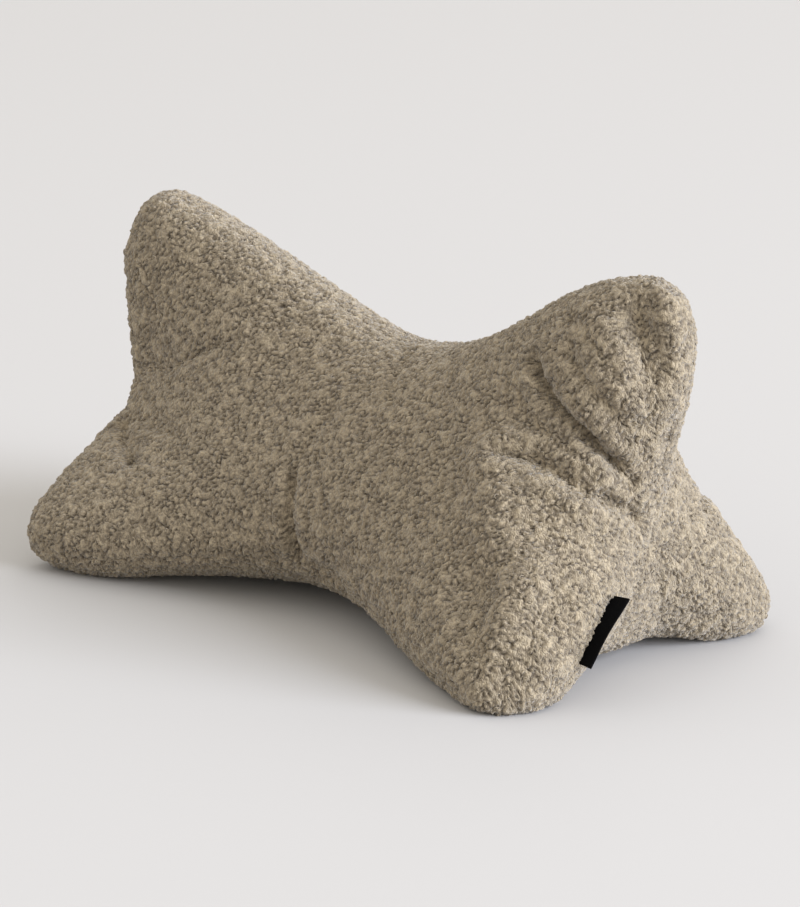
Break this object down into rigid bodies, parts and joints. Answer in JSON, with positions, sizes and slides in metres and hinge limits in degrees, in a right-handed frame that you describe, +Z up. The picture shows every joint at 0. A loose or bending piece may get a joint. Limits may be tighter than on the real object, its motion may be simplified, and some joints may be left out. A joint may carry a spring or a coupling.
{
  "type": "neck pillow",
  "caption": "Filled neck and reading pillow, bone-shaped and covered in curly fleece, with lobes at both ends round a narrow waist and a plain side label.",
  "frame": {"origin": "middle of the part's box, on the surface that it stands on", "axes": "+X along the pillow towards the end with the side label, -Y its front, +Z up"},
  "size_m": [0.4526, 0.2698, 0.2417],
  "materials": {
    "cloth": "curly boucle fleece, matt",
    "label": "woven satin ribbon, black"
  },
  "bodies": {
    "root": {"pillow": "cloth", "side_label": "label"}
  },
  "joints": []
}
